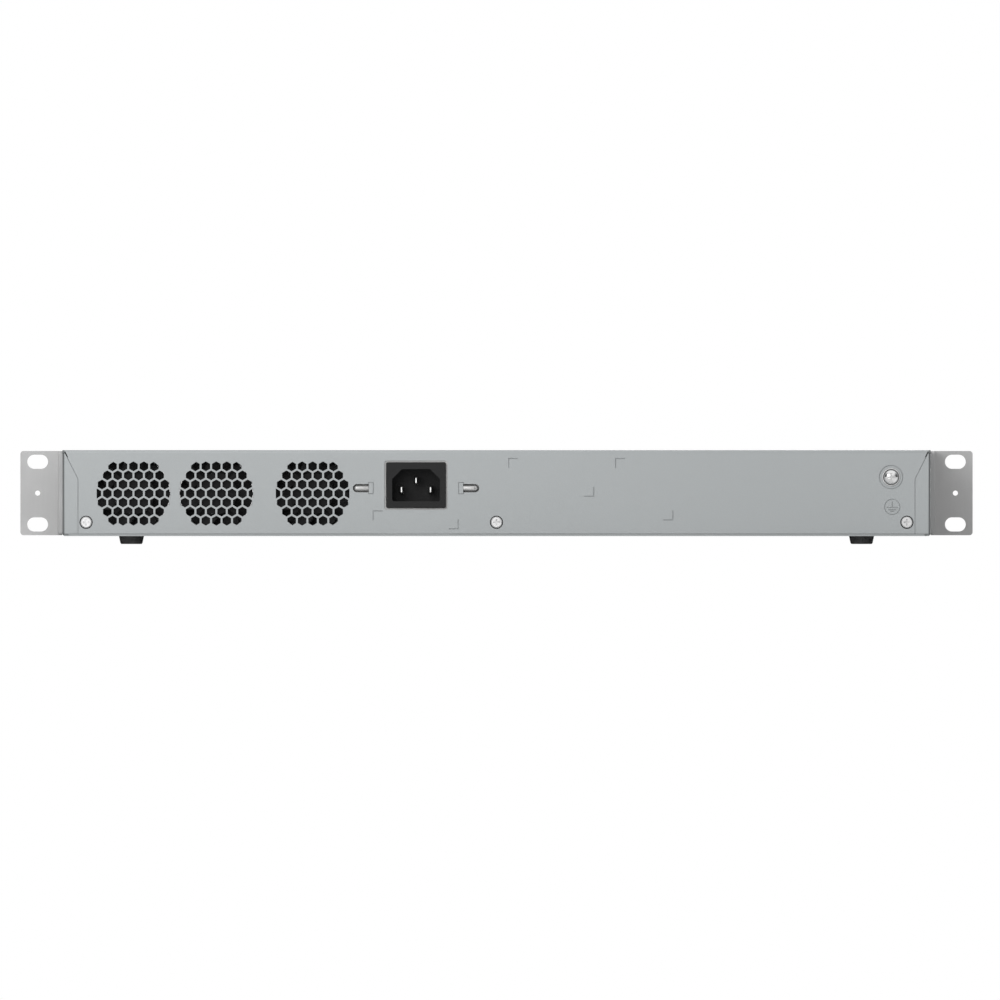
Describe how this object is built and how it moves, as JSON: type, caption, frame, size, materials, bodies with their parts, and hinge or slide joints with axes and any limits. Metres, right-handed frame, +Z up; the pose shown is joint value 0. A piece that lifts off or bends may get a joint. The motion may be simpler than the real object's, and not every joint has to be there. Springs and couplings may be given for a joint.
{
  "type": "rackmount network switch",
  "caption": "One-rack-unit network switch: folded grey steel case with rear fan grilles, mains inlet and ground screw, ports in front, and a steel rack ear on each side.",
  "frame": {"origin": "on the surface that the feet stand on, below the middle of the object's box", "axes": "+X across the rack towards the right ear as seen from the ports, +Y from the port panel to the rear flap with the mains inlet, +Z up"},
  "size_m": [0.4826, 0.2232, 0.0476],
  "materials": {
    "case_paint": "satin powder coat, light bluish grey",
    "ear_steel": "satin zinc-plated steel",
    "screw_steel": "bright zinc plate",
    "chrome_screw": "polished",
    "zinc_steel": "zinc plate",
    "brass": "turned",
    "rubber": "matt black",
    "fan_plastic": "moulded black",
    "copper_coil": "enamelled copper",
    "lead_insulation": "wire insulation",
    "mains_insulation": "wire insulation",
    "inlet_plastic": "moulded black",
    "blade_metal": "nickel plate",
    "main_laminate": "green solder resist",
    "psu_laminate": "green solder resist",
    "insulating_sheet": "clear grey film",
    "shield_metal": "tin plate",
    "jack_plastic": "moulded black",
    "console_plastic": "moulded blue",
    "contact_gold": "gold plate",
    "light_pipe": "translucent",
    "button_plastic": "moulded",
    "chip_resin": "moulded resin",
    "heatsink_aluminium": "extruded",
    "transformer_core": "ferrite and tape",
    "capacitor_sleeve": "sleeved"
  },
  "bodies": {
    "case": {"base_tray": "case_paint", "top_cover": "case_paint", "front_panel": "case_paint", "ear_left": "ear_steel", "ear_right": "ear_steel", "ear_screws": "screw_steel", "clinch_nuts": "zinc_steel", "rear_screws": "screw_steel", "side_screws": "screw_steel", "front_screws": "screw_steel", "ground_screw": "chrome_screw", "ground_washer": "screw_steel", "foot_front_left": "rubber", "foot_front_right": "rubber", "foot_rear_left": "rubber", "foot_rear_right": "rubber", "fan_bracket": "zinc_steel", "fan_frame_1": "fan_plastic", "fan_frame_2": "fan_plastic", "fan_frame_3": "fan_plastic", "fan_stator_1": "copper_coil", "fan_stator_2": "copper_coil", "fan_stator_3": "copper_coil", "fan_screws": "screw_steel", "fan_leads": "lead_insulation", "inlet_housing": "inlet_plastic", "inlet_blades": "blade_metal", "inlet_bracket": "zinc_steel", "cord_anchors": "zinc_steel", "main_board": "main_laminate", "board_standoffs": "brass", "board_screws": "screw_steel", "bracket_screws": "screw_steel", "jack_shield_1": "shield_metal", "jack_shield_2": "shield_metal", "jack_insert_1": "jack_plastic", "jack_insert_2": "jack_plastic", "jack_contacts": "contact_gold", "jack_lights": "light_pipe", "console_shield": "shield_metal", "console_insert": "console_plastic", "sfp_cage": "shield_metal", "sfp_connectors": "jack_plastic", "status_lights": "light_pipe", "reset_switch": "button_plastic", "switch_chip": "chip_resin", "switch_heatsink": "heatsink_aluminium", "phy_chips": "chip_resin", "magnetics": "chip_resin", "board_parts": "chip_resin", "psu_board": "psu_laminate", "psu_insulator": "insulating_sheet", "transformer": "transformer_core", "psu_capacitors": "capacitor_sleeve", "psu_heatsinks": "heatsink_aluminium", "mains_leads": "mains_insulation"},
    "fan_1": {"fan_rotor_1": "fan_plastic"},
    "fan_2": {"fan_rotor_2": "fan_plastic"},
    "fan_3": {"fan_rotor_3": "fan_plastic"},
    "reset": {"reset_button": "button_plastic"}
  },
  "joints": [
    {"name": "fan_spin_1", "type": "hinge", "parent": "case", "child": "fan_1", "pos_m": [0.184, 0.0961, 0.0256], "axis": [0, 1, 0], "continuous": true},
    {"name": "fan_spin_2", "type": "hinge", "parent": "case", "child": "fan_2", "pos_m": [0.142, 0.0961, 0.0256], "axis": [0, 1, 0], "continuous": true},
    {"name": "fan_spin_3", "type": "hinge", "parent": "case", "child": "fan_3", "pos_m": [0.0932, 0.0961, 0.0256], "axis": [0, 1, 0], "continuous": true},
    {"name": "reset_press", "type": "slide", "parent": "case", "child": "reset", "axis": [0, 1, 0], "range_m": [0, 0.0006], "stiffness_N_per_m": 1500, "springref_m": -0.0003}
  ]
}
